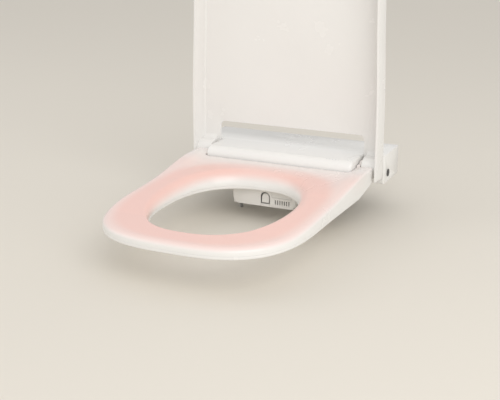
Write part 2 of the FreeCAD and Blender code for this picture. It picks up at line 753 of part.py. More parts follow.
def blower():
    t = 1.8
    drum = rod(blower_r, (blower_x, blower_y, blower_low), (blower_x, blower_y, blower_high))
    throat = box(duct_left, duct_right, dryer_end + fit_gap, blower_y, dryer_low - t, dryer_high + t)
    case = fuse([drum, throat])
    hollow = rod(blower_r - t, (blower_x, blower_y, blower_low + t), (blower_x, blower_y, blower_high - t))
    mouth = box(duct_left + t, duct_right - t, dryer_end - 1, blower_y - 10, dryer_low, dryer_high)
    eye = rod(13.0, (blower_x, blower_y, blower_low - 1), (blower_x, blower_y, blower_low + t + 1))
    shaft_hole = rod(spindle_r + 1, (blower_x, blower_y, blower_high - t - 1),
                     (blower_x, blower_y, blower_high + 1))
    case = case.cut(Part.makeCompound([fuse([hollow, mouth]), eye, shaft_hole]))
    legs = []
    for k in range(3):
        a = math.radians(30 + 120 * k)
        x = blower_x + (blower_r - 4) * math.cos(a)
        y = blower_y + (blower_r - 4) * math.sin(a)
        legs.append(rod(3.0, (x, y, floor_z), (x, y, blower_low + 0.5)))
    keep("blower_case", fuse([case] + legs))
    motor = rod(13.0, (blower_x, blower_y, blower_high), (blower_x, blower_y, blower_high + 8))
    keep("blower_motor", motor.cut(rod(spindle_r + run_gap, (blower_x, blower_y, blower_high - 1),
                                       (blower_x, blower_y, blower_high + 6))))
    low = blower_low + t + 2
    high = blower_high - t - 2
    disc = rod(impeller_r, (blower_x, blower_y, high - 1.5), (blower_x, blower_y, high))
    hub = rod(5.0, (blower_x, blower_y, high - 9), (blower_x, blower_y, high))
    ring = pipe(impeller_r, impeller_r - 4, (blower_x, blower_y, low), (blower_x, blower_y, low + 1.5))
    spindle = rod(spindle_r, (blower_x, blower_y, high), (blower_x, blower_y, blower_high + 5))
    blades = []
    for k in range(blade_count):
        rim = blower_x + impeller_r
        blade = box(rim - 6, rim - 0.3, blower_y - 0.5, blower_y + 0.5, low, high)
        blade.rotate(Vector(rim - 3, blower_y, 0), Vector(0, 0, 1), 35)
        blade = blade.common(rod(impeller_r, (blower_x, blower_y, low), (blower_x, blower_y, high)))
        blade.rotate(Vector(blower_x, blower_y, 0), Vector(0, 0, 1), 360 * k / blade_count)
        blades.append(blade)
    keep("blower_impeller", fuse([disc, hub, ring, spindle] + blades))


def odour_path(inset):
    mouth_top = flap_low - 1 - fit_gap
    floor = -block_floor + wall_t + fit_gap
    sizes = (dryer_floor - fit_gap, floor, mouth_top, -60.0, odour_high, odour_low, odour_end)
    points = duct_profile(*sizes, inset)
    front = points[0][0]
    points = points[:6] + [(front, line_z(front, floor + inset))]
    run = prism_x(points, duct_left + inset, duct_right - inset)
    low = odour_low + inset
    high = odour_high - inset
    right = fan_x + odour_out - inset
    side = box(duct_left + inset, right, odour_turn + inset, odour_end - inset, low, high)
    end = filter_front + (1 if inset else 0)
    leg = box(fan_x - odour_in + inset, right, odour_turn + inset, end, low, high)
    if inset:
        run = run.cut(box(-200, 200, odour_end - inset, 100, -50, 100))
    return fuse([run, side, leg])


def deodoriser():
    keep("odour_duct", odour_path(0).cut(odour_path(duct_t)))
    t = 1.5
    left = fan_x - filter_half
    right = fan_x + filter_half
    shell = box(left, right, filter_front, filter_back, floor_z, filter_high)
    room = box(left + t, right - t, filter_front + t, filter_back - t, floor_z + t, filter_high - t)
    inlet = box(fan_x - odour_in + duct_t, fan_x + odour_out - duct_t, filter_front - 1, filter_front + 4,
                odour_low + duct_t, odour_high - duct_t)
    outlet = box(fan_x - 12, fan_x + 12, filter_back - 4, filter_back + 1, 16, 34)
    keep("filter_case", shell.cut(Part.makeCompound([fuse([room, inlet, outlet])])))
    g = t + fit_gap
    front = filter_front + 5
    back = filter_back - 4
    block = box(left + g, right - g, front, back, floor_z + g, filter_high - g)
    xs = [fan_x - 16 + 6 * i for i in range(6)]
    zs = [14 + 6 * i for i in range(5)]
    cells = [rod(1.3, (x, front - 1, z), (x, back + 1, z)) for x in xs for z in zs]
    keep("carbon_filter", block.cut(Part.makeCompound(cells)))
    drum = rod(fan_r, (fan_x, fan_y, fan_low), (fan_x, fan_y, fan_high))
    throat = box(fan_x - 14, fan_x + 14, filter_back, fan_y, 14.5, 35.5)
    hollow = rod(fan_r - t, (fan_x, fan_y, fan_low + t), (fan_x, fan_y, fan_high - t))
    mouth = box(fan_x - 14 + t, fan_x + 14 - t, filter_back - 1, fan_y - 10, 16, 34)
    vent = rod(11.0, (fan_x, fan_y, 0), (fan_x, fan_y, fan_low + t + 1))
    skirt = pipe(13.0, 11.0, (fan_x, fan_y, floor_z), (fan_x, fan_y, fan_low + 0.5))
    motor = rod(9.0, (fan_x, fan_y, fan_high - t), (fan_x, fan_y, fan_high + 8))
    bore = rod(spindle_r + run_gap, (fan_x, fan_y, 0), (fan_x, fan_y, fan_high + 6))
    case = fuse([drum, throat, skirt, motor]).cut(Part.makeCompound([fuse([hollow, mouth]), vent, bore]))
    keep("fan_case", case)
    low = fan_low + t + 2
    high = fan_high - t - 2
    hub = rod(6.0, (fan_x, fan_y, low), (fan_x, fan_y, high))
    spindle = rod(spindle_r, (fan_x, fan_y, high), (fan_x, fan_y, fan_high + 5))
    blades = []
    for k in range(rotor_blades):
        blade = box(fan_x + 4, fan_x + rotor_r, fan_y - 0.6, fan_y + 0.6, low + 1, high - 1)
        blade.rotate(Vector(fan_x, fan_y, (low + high) / 2), Vector(1, 0, 0), 35)
        blade = blade.common(rod(rotor_r, (fan_x, fan_y, low), (fan_x, fan_y, high)))
        blade.rotate(Vector(fan_x, fan_y, 0), Vector(0, 0, 1), 360 * k / rotor_blades)
        blades.append(blade)
    keep("fan_rotor", fuse([hub, spindle] + blades))


# ---- water

def water():
    flange_top = floor_z + 3
    stub = fuse([rod(inlet_r, (inlet_x, inlet_y, -inlet_reach), (inlet_x, inlet_y, 0)),
                 rod(inlet_r + inlet_shoulder, (inlet_x, inlet_y, 0), (inlet_x, inlet_y, floor_z))])
    collar = rod(inlet_flange_r, (inlet_x, inlet_y, floor_z), (inlet_x, inlet_y, flange_top))
    neck = rod(inlet_neck_r, (inlet_x, inlet_y, flange_top), (inlet_x, inlet_y, coupling_z))
    bore = rod(inlet_bore_r, (inlet_x, inlet_y, -inlet_reach - 1), (inlet_x, inlet_y, coupling_z + 1))
    keep("water_inlet", fuse([stub, collar, neck]).cut(bore))
    cup = rod(inlet_bore_r, (inlet_x, inlet_y, -10), (inlet_x, inlet_y, 10))
    keep("inlet_strainer", cup.cut(rod(inlet_bore_r - 1, (inlet_x, inlet_y, -11), (inlet_x, inlet_y, 8))))
    valve_right = inlet_x + solenoid_w / 2
    valve = box(inlet_x - solenoid_w / 2, valve_right, inlet_y - solenoid_d / 2, inlet_y + solenoid_d / 2,
                coupling_z, solenoid_high)
    coil = rod(9.0, (inlet_x, inlet_y, solenoid_high), (inlet_x, inlet_y, coil_high))
    keep("solenoid_valve", fuse([valve, coil]))
    joint_x = heater_left + 14
    run = [(valve_right, inlet_y, pipe_z), (joint_x, inlet_y, pipe_z), (joint_x, heater_back, pipe_z)]
    keep("cold_pipe", bent_pipe(run, 7.0, pipe_r, pipe_r - pipe_wall))
    tank = box(heater_left, heater_right, heater_front, heater_back, floor_z, heater_high)
    lid = box(heater_left + 8, heater_right - 8, heater_front + 8, heater_back - 8,
              heater_high, heater_high + heater_lid)
    keep("water_heater", fuse([tank, lid]))
    body = rod(pump_r, (pump_left, pump_y, pump_z), (pump_right, pump_y, pump_z))
    seat = box(pump_left + 6, pump_right - 6, pump_y - 9, pump_y + 9, floor_z, floor_z + pump_r)
    spigot = rod(pipe_r, (pump_right - pump_r, heater_back, pump_z), (pump_right - pump_r, pump_y, pump_z))
    keep("water_pump", fuse([body, seat, spigot]))
    run = [(pump_right, pump_y, pump_z), (nozzle_x, pump_y, pump_z), (nozzle_x, valve_back, pump_z)]
    keep("warm_pipe", bent_pipe(run, 12.0, pipe_r, pipe_r - pipe_wall))


# ---- power, controls

def electrics():
    shell = box(supply_left, supply_right, supply_front, board_back, floor_z, supply_high)
    pitch = (board_back - supply_front - 2) / 6.25
    fins = []
    for i in range(6):
        y = supply_front + 2 + pitch * i
        fins.append(box(supply_left + 2, supply_right - 2, y, y + 1.5, supply_high, supply_high + 2))
    keep("power_supply", fuse([shell] + fins))
    top = board_z + board_t
    depth = board_back - board_front
    length = board_right - board_left
    board = box(board_left, board_right, board_front, board_back, board_z, top)
    posts = [rod(3.0, (x, y, floor_z), (x, y, board_z)) for x in (board_left + 6, board_right - 4)
             for y in (board_front + 5, board_back - 4)]
    chips = []
    for start, end, low, high, height in ((0.14, 0.32, 0.2, 0.8, 2.4), (0.41, 0.57, 0.26, 0.87, 14.4),
                                          (0.64, 0.75, 0.13, 0.83, 8.4)):
        chips.append(box(board_left + start * length, board_left + end * length,
                         board_front + low * depth, board_front + high * depth, top, top + height))
    for share in (0.26, 0.74):
        y = board_front + share * depth
        chips.append(rod(4.0, (board_right - 12, y, top), (board_right - 12, y, top + 15.4)))
    keep("main_board", fuse([board] + posts + chips))
    body = rod(gland_r, (gland_x, gland_y, cover_foot), (gland_x, gland_y, floor_z))
    nut = rod(gland_r + 3, (gland_x, gland_y, floor_z), (gland_x, gland_y, floor_z + 5))
    keep("cable_gland", fuse([body, nut]).cut(rod(cable_r, (gland_x, gland_y, 0), (gland_x, gland_y, 20))))
    x0 = light_xs[0] - 12
    x1 = light_xs[-1] + 12
    card = box(x0, x1, light_y - 3, light_y + 9, card_z - 1.2, card_z)
    lamps = []
    for x in light_xs:
        lamps.append(box(x - 1.2, x + 1.2, light_y - 1.2, light_y + 1.2, card_z, card_z + 0.8))
    keep("indicator_board", fuse([card] + lamps))
    lenses = [rod(light_r, (x, light_y, card_z + 0.8), (x, light_y, light_top)) for x in light_xs]
    keep("indicator_lenses", Part.makeCompound(lenses))


def side_button():
    face = house_half + button_stand
    cap = rod(button_r, (inner_half - 3, button_y, button_z), (face, button_y, button_z))
    rim = rod(button_r + 1.4, (inner_half - 3, button_y, button_z), (inner_half - 0.2, button_y, button_z))
    stem = rod(2.2, (inner_half - 8, button_y, button_z), (inner_half - 3, button_y, button_z))
    keep("side_button", fuse([cap, rim, stem]))
    end = inner_half - 8 - button_travel - fit_gap
    body = box(end - 9, end, button_y - 8, button_y + 8, floor_z, button_z + 8)
    keep("button_switch", body)


def release_button():
    w = release_w / 2
    h = release_h / 2
    wall = -inner_half
    cap = box(-house_half - 0.6, wall + 6, button_y - w, button_y + w, button_z - h, button_z + h)
    upright = pick_edges(cap, lambda b: b.XLength > 1)
    keep("release_button", cap.makeFillet(3.0, upright))
    z0 = floor_z + fit_gap
    z1 = z0 + 3
    free_x = -bracket_half + lug_w
    reach = -release_travel + 0.5
    bar = box(wall + 6, free_x + 12, button_y - 5, button_y + 5, z0, z1)
    post = box(wall + 6, wall + 9, button_y - 5, button_y + 5, z0, button_z + h - 2)
    leg = box(free_x + 4, free_x + 12, lug_y + bracket_t + fit_gap, button_y + 5, z0, z1)
    nose = box(free_x + reach, free_x + 5, lug_y + bracket_t + fit_gap, lug_y + bracket_t + 7, z0, z1)
    keep("latch_arm", fuse([bar, post, leg, nose]))


# ---- hinge dampers

def dampers():
    right = (hinge_y, hinge_z)
    body = pipe(damper_r, bore_r, (damper_inner, *right), (bar_inner, *right))
    end = rod(damper_r, (damper_inner - damper_end, *right), (damper_inner, *right))
    keep("seat_damper", fuse([body, end]))
    keep("lid_damper", mirror(fuse([body, end])))


# ---- seat

def smooth(t):
    t = max(0.0, min(1.0, t))
    return t * t * (3 - 2 * t)


def side_points(half, front, flare, back):
    """Right-hand edge from the rear to the nose: straight, then a superellipse, with a flare."""
    points = []
    steps = 9
    for i in range(steps):
        points.append((half, back + (mid_y - back) * i / steps))
    for k in range(0, 91, 9):
        a = math.radians(k)
        x = half * math.cos(a) ** (2 / 2.902) if k < 90 else 0.0
        points.append((x, mid_y + (front - mid_y) * math.sin(a) ** (2 / 3.118)))
    extra, start, end = flare
    return [(x + extra * smooth((y - start) / (end - start)), y) for x, y in points]


def outline_face(half, front, flare, back, z):
    """The plan outline closed by a straight line at the rear."""
    right = side_points(half, front, flare, back)
    whole = right + [(-x, y) for x, y in reversed(right[:-1])]
    curve = Part.BSplineCurve()
    curve.interpolate([Vector(x, y, z) for x, y in whole])
    last = whole[-1]
    close = Part.makeLine(Vector(last[0], last[1], z), Vector(whole[0][0], whole[0][1], z))
    return Part.Face(Part.Wire([curve.toShape(), close]))


def hole_wire(grow, share, z, tilt):
    """Edge of the opening, widened all round and by a share of its slope, at a height that may climb."""
    points = []
    for k in range(0, 360, 10):
        a = math.radians(k)
        c = math.cos(a)
        s = math.sin(a)
        across = math.copysign(abs(c) ** (2 / hole_power), c)
        along = math.copysign(abs(s) ** (2 / hole_power), s)
        widened = smooth(hole_len * (along + 1) / funnel_spread)
        reach = grow + share * (funnel_nose_w + (funnel_rear_w - funnel_nose_w) * widened)
        y = (hole_len + reach) * along
        points.append(Vector((hole_half + reach) * across, hole_mid_y + y, z + tilt * y))
    curve = Part.BSplineCurve()
    curve.interpolate(points, True)
    return Part.Wire([curve.toShape()])


def funnel(inset):
    """The opening: upright below, then curving outwards to the top of the seat."""
    rise = funnel_top - funnel_foot
    wires = [hole_wire(inset, 0.0, -10, 0.0), hole_wire(inset, 0.0, funnel_foot, 0.0)]
    for angle in (25, 45, 62):
        a = math.radians(angle)
        climb = math.sin(a)
        wires.append(hole_wire(inset, 1 - math.cos(a), funnel_foot + (rise - inset) * climb, funnel_tilt * climb))
    wires.append(hole_wire(inset + 4, 1.0, funnel_top + 4 - inset, funnel_tilt))
    wires.append(hole_wire(inset + 24, 1.0, funnel_top + 34 - inset, funnel_tilt))
    return Part.makeLoft(wires, True, False)


def seat_height(x, y):
    """Top of the seat: side heights by station, hollowed towards the rear centre."""
    for (y0, z0), (y1, z1) in zip(seat_heights, seat_heights[1:]):
        if y <= y1:
            break
    z = z0 + (z1 - z0) * (y - y0) / (y1 - y0)
    level = 1 - smooth((abs(x) - dish_half) / dish_side)
    return z - seat_dish * smooth((y + 150) / 100) * level


def under_skin(drop):
    """Everything below the seat's top skin, lowered by a drop."""
    grid = []
    for j in range(17):
        y = -460 + 31.25 * j
        grid.append([Vector(x, y, seat_height(x, y) - drop) for x in range(-210, 211, 14)])
    skin = Part.BSplineSurface()
    skin.interpolate(grid)
    return skin.toShape().extrude(Vector(0, 0, -90))


def seat_body(inset):
    """The ring with its two ears, set in by a wall."""
    low = seat_foot + inset
    flare = (ear_flare, ear_flare_from, ear_flare_to)
    plan = outline_face(seat_half - inset, seat_front + inset, flare, ear_back - inset, low)
    ring = plan.extrude(Vector(0, 0, 60))
    gap = box(-lug_in - inset, lug_in + inset, seat_rear - inset, ear_back + 10, -10, 90)
    ramp = prism_x([(ear_rise_from, low), (ear_back + 1, low + ear_rise), (ear_back + 1, low - 1),
                    (ear_rise_from, low - 1)], -house_half, house_half)
    roof = block_roof + wall_t + 1.0 + inset
    start = line_y(seat_foot - 1, roof)
    tunnel = prism_x([(start, seat_foot - 1), (10, line_z(10, roof)), (10, seat_foot - 1)],
                     bezel_left - 2 - inset, bezel_right + 2 + inset)
    body = ring.cut(gap).cut(ramp).cut(funnel(inset)).common(under_skin(inset))
    return body.cut(tunnel)


def seat():
    inner = seat_body(seat_wall)
    shell = seat_body(0.0).cut(inner)
    below = box(-300, 300, -600, 100, -20, seat_split)
    lugs = []
    for s in (-1, 1):
        a, b = sorted((s * lug_in, s * lug_out))
        disc = rod(lug_r, (a, hinge_y, hinge_z), (b, hinge_y, hinge_z))
        neck = box(a, b, ear_back - 1, hinge_y, hinge_z - 10, hinge_z + 8)
        lugs.append(fuse([disc, neck]))
    cuts = [rod(shaft_r, (lug_in - 1, hinge_y, hinge_z), (lug_out + 1, hinge_y, hinge_z)),
            rod(bush_r, (-lug_out - 1, hinge_y, hinge_z), (-lug_in + 1, hinge_y, hinge_z))]
    keep("seat_top", fuse([shell.cut(below)] + lugs).cut(Part.makeCompound(cuts)))
    keep("seat_base", shell.common(below))
    keep("seat_shaft", rod(shaft_r, (shaft_inner, hinge_y, hinge_z), (shaft_outer, hinge_y, hinge_z)))
    keep("seat_bush", pipe(bush_r, bore_r, (-lug_out, hinge_y, hinge_z), (-lug_in, hinge_y, hinge_z)))
    foil = inner.common(under_skin(seat_wall + foil_drop)).cut(under_skin(seat_wall + foil_drop + foil_t))
    keep("heating_foil", foil)
    floor = seat_foot + seat_wall
    right = seat_half - sensor_inset
    mid = mid_y + sensor_back
    keep("occupancy_sensor", box(right - sensor_w, right, mid - sensor_len / 2, mid + sensor_len / 2,
                                 floor, floor + sensor_h))
    pads = []
    for inward, y in (pad_rear, pad_front):
        x = seat_half - inward
        pads += [rod(pad_r, (s * x, y, 0), (s * x, y, seat_foot)) for s in (-1, 1)]
    keep("seat_bumpers", Part.makeCompound(pads))


# ---- lid, drawn closed and then swung open

def open_lid(shape):
    swung = shape.copy()
    swung.rotate(Vector(0, hinge_y, hinge_z), Vector(1, 0, 0), -90)
    return swung


def lid_plan(inset, back, z):
    flare = (lid_flare, flare_from, flare_to)
    return outline_face(lid_half - inset, lid_front + inset, flare, back, z)


def lid_solid(inset_side, inset_top, low, r):
    plan = lid_plan(inset_side, hinge_y + arm_sweep_r + 5, low)
    top = deck_z - inset_top
    solid = plan.extrude(Vector(0, 0, top - low))
    rim = pick_edges(solid, lambda b: b.ZLength < 0.01 and b.ZMin > top - 0.01 and b.YLength > 1)
    return solid.makeFillet(r, rim)


def lid_swing():
    """Room behind the arms' rounded ends that the lid leaves free."""
    far = box(-300, 300, hinge_y, hinge_y + 60, -20, 120)
    low = box(-300, 300, hinge_y - 1, hinge_y + arm_sweep_r - 2, -20, hinge_z)
    disc = rod(arm_sweep_r, (-300, hinge_y, hinge_z), (300, hinge_y, hinge_z))
    return far.cut(disc).cut(low)


def lid():
    outer = lid_solid(0.0, 0.0, lid_foot, lid_edge_r)
    inner = lid_solid(flange_wall, lid_wall, lid_foot - 1, lid_edge_r - lid_wall)
    shell = outer.cut(inner)
    back = hinge_y + arm_sweep_r + 10
    notch = box(-notch_half, notch_half, notch_y, back, -10, 90)
    corners = pick_edges(notch, lambda b: b.ZLength > 1 and b.YMax < notch_y + 0.01)
    shell = shell.cut(notch.makeFillet(notch_r, corners))
    front = hinge_y - knuckle_r
    cove_y = front - cove_r
    cove_z = deck_z - lid_wall - cove_r
    middle = lid_solid(flange_wall / 2, lid_wall / 2, lid_foot, lid_edge_r - lid_wall / 2)
    knuckles = []
    for s in (-1, 1):
        a, b = sorted((s * knuckle_in, s * (lid_half + lid_flare)))
        barrel = rod(knuckle_r, (a, hinge_y, hinge_z), (b, hinge_y, hinge_z))
        web = box(a, b, cove_y, hinge_y, hinge_z, deck_z)
        hollow = fuse([rod(cove_r, (a - 1, cove_y, cove_z), (b + 1, cove_y, cove_z)),
                       box(a - 1, b + 1, cove_y - 1, front, hinge_z - 1, cove_z)])
        knuckles.append(fuse([barrel, web.cut(hollow)]).common(middle))
    shell = fuse([shell] + knuckles).cut(lid_swing())
    axis = (hinge_y, hinge_z)
    cuts = [rod(bush_r, (knuckle_in - 1, *axis), (shaft_outer, *axis)),
            rod(shaft_r, (-shaft_outer, *axis), (-knuckle_in + 1, *axis))]
    keep("lid_shell", open_lid(shell.cut(Part.makeCompound(cuts))))
    keep("lid_shaft", open_lid(rod(shaft_r, (-shaft_outer, *axis), (-shaft_inner, *axis))))
    keep("lid_bush", open_lid(pipe(bush_r, bore_r, (knuckle_in, *axis), (shaft_outer, *axis))))
    band = lid_plan(0.0, 0, fit_gap).cut(lid_plan(flange_wall, 1, fit_gap))
    band = band.extrude(Vector(0, 0, lid_foot - fit_gap))
    start = lid_front + lid_pad_from
    pads = band.common(box(-300, 300, start, start + lid_pad_len, -5, 20))
    keep("lid_bumpers", open_lid(pads))


def main():
    housing_cover()
    base_plate()
    mounting_bracket()
    fixing_bolts()
    cover_screws()
    spray_well()
    well_cover()
    nozzle_bezel()
    dryer_flap()
    wand()
    drive_pinion()
    wand_guide()
    feed_pipe()
    dryer_duct()
    blower()
    deodoriser()
    water()
    electrics()
    side_button()
    release_button()
    dampers()
    seat()
    lid()
    os.makedirs("parts", exist_ok=True)
    for name, shape in parts.items():
        shape.exportStep("parts/" + name + ".step")


main()
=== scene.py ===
# An electric bidet seat: a heated seat and a lid, hinged on one low housing that is bolted to the
# rear of a toilet pan. The lid stands open and the seat lies down. X runs to the right of someone
# who faces the wall, Y to the wall and Z up; the origin is midway between the two pan bolts.

import math

import bmesh
import bpy
from mathutils import Matrix, Vector
from mathutils.kdtree import KDTree


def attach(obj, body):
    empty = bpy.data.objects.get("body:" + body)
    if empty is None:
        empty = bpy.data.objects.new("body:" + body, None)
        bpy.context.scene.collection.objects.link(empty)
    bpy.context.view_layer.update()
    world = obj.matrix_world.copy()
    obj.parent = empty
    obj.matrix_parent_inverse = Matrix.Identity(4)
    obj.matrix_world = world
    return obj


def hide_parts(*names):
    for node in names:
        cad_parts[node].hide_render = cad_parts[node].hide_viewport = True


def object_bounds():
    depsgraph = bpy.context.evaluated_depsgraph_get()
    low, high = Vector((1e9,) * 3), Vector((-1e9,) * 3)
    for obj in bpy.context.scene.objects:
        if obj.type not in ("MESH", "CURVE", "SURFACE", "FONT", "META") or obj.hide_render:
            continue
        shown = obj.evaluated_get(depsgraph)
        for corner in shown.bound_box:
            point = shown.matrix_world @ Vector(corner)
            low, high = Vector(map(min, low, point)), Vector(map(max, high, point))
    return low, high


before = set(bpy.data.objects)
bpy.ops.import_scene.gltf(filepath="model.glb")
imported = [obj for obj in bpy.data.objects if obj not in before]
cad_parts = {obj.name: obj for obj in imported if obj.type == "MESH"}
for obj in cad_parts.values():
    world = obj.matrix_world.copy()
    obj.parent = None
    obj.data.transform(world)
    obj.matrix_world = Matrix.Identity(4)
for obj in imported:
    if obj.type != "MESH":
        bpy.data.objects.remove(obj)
cad_low, cad_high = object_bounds()

# ---- camera
# It stands to the right of the seat and looks down on it, with a lens that is a little longer
# than normal, so that the two sides of the seat run nearly parallel.

bpy.ops.object.camera_add(location=(0.6884, -1.6205, 0.5249),
                          rotation=(math.radians(90 - 17.695), 0, math.radians(24.759)))
camera = bpy.context.object
camera.data.lens = 68.84
camera.data.sensor_width = 36
camera.data.clip_start = 0.01
bpy.context.scene.camera = camera

# ---- studio
# A pale matt floor that runs far behind the seat. The pan bolts stand on it. Soft light comes from
# the right front above, with a weaker one from the left.


def surface(name, colour, rough, metallic=0.0, tone=0.03, scale=20.0, grain=0.0, coat=0.0):
    """A material whose tone and sheen vary a little over the piece, with a fine grain."""
    material = bpy.data.materials.new(name)
    material.use_nodes = True
    nodes = material.node_tree.nodes
    links = material.node_tree.links
    shader = nodes["Principled BSDF"]
    shader.inputs["Metallic"].default_value = metallic
    shader.inputs["Coat Weight"].default_value = coat
    shader.inputs["Coat Roughness"].default_value = 0.06
    place = nodes.new("ShaderNodeTexCoord")
    cloud = nodes.new("ShaderNodeTexNoise")
    cloud.inputs["Scale"].default_value = scale
    cloud.inputs["Detail"].default_value = 4.0
    links.new(place.outputs["Object"], cloud.inputs["Vector"])
    shade = nodes.new("ShaderNodeMix")
    shade.data_type = "RGBA"
    shade.label = "tone"
    shade.inputs["A"].default_value = (*[c * (1 - tone) for c in colour], 1)
    shade.inputs["B"].default_value = (*[min(1.0, c * (1 + tone)) for c in colour], 1)
    links.new(cloud.outputs["Fac"], shade.inputs["Factor"])
    links.new(shade.outputs["Result"], shader.inputs["Base Color"])
    sheen = nodes.new("ShaderNodeMapRange")
    sheen.inputs["To Min"].default_value = rough * 0.8
    sheen.inputs["To Max"].default_value = rough * 1.2
    links.new(cloud.outputs["Fac"], sheen.inputs["Value"])
    links.new(sheen.outputs["Result"], shader.inputs["Roughness"])
    fine = nodes.new("ShaderNodeTexNoise")
    fine.inputs["Scale"].default_value = 1400.0
    links.new(place.outputs["Object"], fine.inputs["Vector"])
    bump = nodes.new("ShaderNodeBump")
    bump.inputs["Strength"].default_value = 0.15 + grain
    bump.inputs["Distance"].default_value = 0.00002
    links.new(fine.outputs["Fac"], bump.inputs["Height"])
    links.new(bump.outputs["Normal"], shader.inputs["Normal"])
    return material


def dress(piece, material):
    """Gives a piece one material all over."""
    if piece.data.materials:
        for index in range(len(piece.data.materials)):
            piece.data.materials[index] = material
    else:
        piece.data.materials.append(material)


bpy.ops.mesh.primitive_plane_add(size=60, location=(0, 0, -0.062))
floor = bpy.context.object
floor.name = "floor"
dress(floor, surface("matt_floor", (0.74, 0.70, 0.63), 0.9, tone=0.01, scale=2))

scene = bpy.context.scene
scene.view_settings.view_transform = "Standard"
daylight = (1.0, 0.99, 0.975)
world = bpy.data.worlds.new("soft_room")
world.use_nodes = True
world.node_tree.nodes["Background"].inputs["Color"].default_value = (*daylight, 1)
world.node_tree.nodes["Background"].inputs["Strength"].default_value = 0.78
scene.world = world

aim = Vector((0, -0.15, 0.1))
for name, place, power, size in (("key", (1.7, -1.7, 1.5), 34, 2.4), ("fill", (-2.3, -1.0, 1.5), 8, 2.0)):
    bpy.ops.object.light_add(type="AREA", location=place)
    lamp = bpy.context.object
    lamp.name = name
    lamp.data.energy = power
    lamp.data.size = size
    lamp.data.color = daylight
    lamp.rotation_euler = (aim - Vector(place)).to_track_quat("-Z", "Y").to_euler()

# ---- pan fixing
# A flat moulded bracket with two slots lies on the pan, and a zinc-plated M8 bolt goes down through
# each slot. The housing slides over the bracket from the front and latches on its lug.

grey_moulding = surface("grey_moulding", (0.36, 0.36, 0.35), 0.42, grain=0.3)
steel = surface("plated_steel", (0.60, 0.60, 0.60), 0.28, metallic=1.0, tone=0.06, scale=60)
threaded = surface("threaded_steel", (0.60, 0.60, 0.60), 0.30, metallic=1.0, tone=0.06, scale=60)
nodes = threaded.node_tree.nodes
links = threaded.node_tree.links
turns = nodes.new("ShaderNodeTexWave")
turns.bands_direction = "Z"
turns.inputs["Scale"].default_value = 250.0
below = nodes.new("ShaderNodeSeparateXYZ")
under = nodes.new("ShaderNodeMath")
under.operation = "LESS_THAN"
under.inputs[1].default_value = -0.008
cut_in = nodes.new("ShaderNodeMath")
cut_in.operation = "MULTIPLY"
pitch = nodes.new("ShaderNodeBump")
pitch.inputs["Strength"].default_value = 1.0
pitch.inputs["Distance"].default_value = 0.0007
links.new(nodes["Texture Coordinate"].outputs["Object"], turns.inputs["Vector"])
links.new(nodes["Texture Coordinate"].outputs["Object"], below.inputs["Vector"])
links.new(below.outputs["Z"], under.inputs[0])
links.new(under.outputs["Value"], cut_in.inputs[0])
links.new(turns.outputs["Fac"], cut_in.inputs[1])
links.new(cut_in.outputs["Value"], pitch.inputs["Height"])
links.new(nodes["Bump"].outputs["Normal"], pitch.inputs["Normal"])
links.new(pitch.outputs["Normal"], nodes["Principled BSDF"].inputs["Normal"])
dress(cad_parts["mounting_bracket"], grey_moulding)
dress(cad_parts["fixing_bolts"], threaded)

# ---- base plate
# The moulded floor of the housing. Its six screws go up into posts under the cover.

dress(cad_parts["base_plate"], grey_moulding)
dress(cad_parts["cover_screws"], steel)

# ---- nozzle block
# A shallow white tub that hangs from the front of the housing into the pan and holds the wand and
# the mouths of the two air ducts. It is closed above by a flat cover and in front by the bezel.

white_moulding = surface("white_moulding", (0.80, 0.785, 0.755), 0.34, tone=0.02)
dress(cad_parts["spray_well"], white_moulding)
dress(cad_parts["well_cover"], white_moulding)

# ---- bezel
# The white front panel of the block, 2.5 mm thick, with round lower corners. It has an arch for the
# wand, a row of slots for the deodoriser, and a window that the warm-air flap closes.


def edit(piece, kind):
    """Opens a piece's mesh with nothing selected, to pick points, edges or faces in it."""
    bpy.ops.object.select_all(action="DESELECT")
    piece.select_set(True)
    bpy.context.view_layer.objects.active = piece
    bpy.ops.object.mode_set(mode="EDIT")
    bpy.ops.mesh.select_mode(type=kind)
    bpy.ops.mesh.select_all(action="DESELECT")
    return bmesh.from_edit_mesh(piece.data)


def settle(piece, name):
    """Names a new piece and puts its origin at the origin of the whole."""
    bpy.ops.object.transform_apply(location=True, rotation=True, scale=True)
    piece.name = name
    return piece


def add_block(name, low, high):
    """A block between two corners, in millimetres."""
    low, high = Vector(low) / 1000, Vector(high) / 1000
    bpy.ops.object.select_all(action="DESELECT")
    bpy.ops.mesh.primitive_cube_add(size=1, location=(low + high) / 2, scale=high - low)
    return settle(bpy.context.object, name)


def add_rod(name, radius, start, end, sides=64):
    """A round rod between two points, in millimetres."""
    start, end = Vector(start) / 1000, Vector(end) / 1000
    turn = (end - start).to_track_quat("Z", "Y").to_euler()
    bpy.ops.object.select_all(action="DESELECT")
    bpy.ops.mesh.primitive_cylinder_add(vertices=sides, radius=radius / 1000, depth=(end - start).length,
                                        location=(start + end) / 2, rotation=turn)
    return settle(bpy.context.object, name)


def add_prism(name, outline, start, end, axis="X"):
    """An outline in millimetres, of (y, z) points drawn out along X or of (x, z) points along Y."""
    bpy.ops.object.select_all(action="DESELECT")
    bpy.ops.mesh.primitive_circle_add(vertices=len(outline), radius=1, fill_type="NGON")
    piece = bpy.context.object
    piece.name = name
    for vertex, (u, z) in zip(piece.data.vertices, outline):
        vertex.co = Vector((start, u, z) if axis == "X" else (u, start, z)) / 1000
    edit(piece, "FACE")
    bpy.ops.mesh.select_all(action="SELECT")
    step = (end - start) / 1000
    move = (step, 0, 0) if axis == "X" else (0, step, 0)
    bpy.ops.mesh.extrude_region_move(TRANSFORM_OT_translate={"value": move})
    bpy.ops.mesh.select_all(action="SELECT")
    bpy.ops.mesh.normals_make_consistent(inside=False)
    bpy.ops.object.mode_set(mode="OBJECT")
    return piece


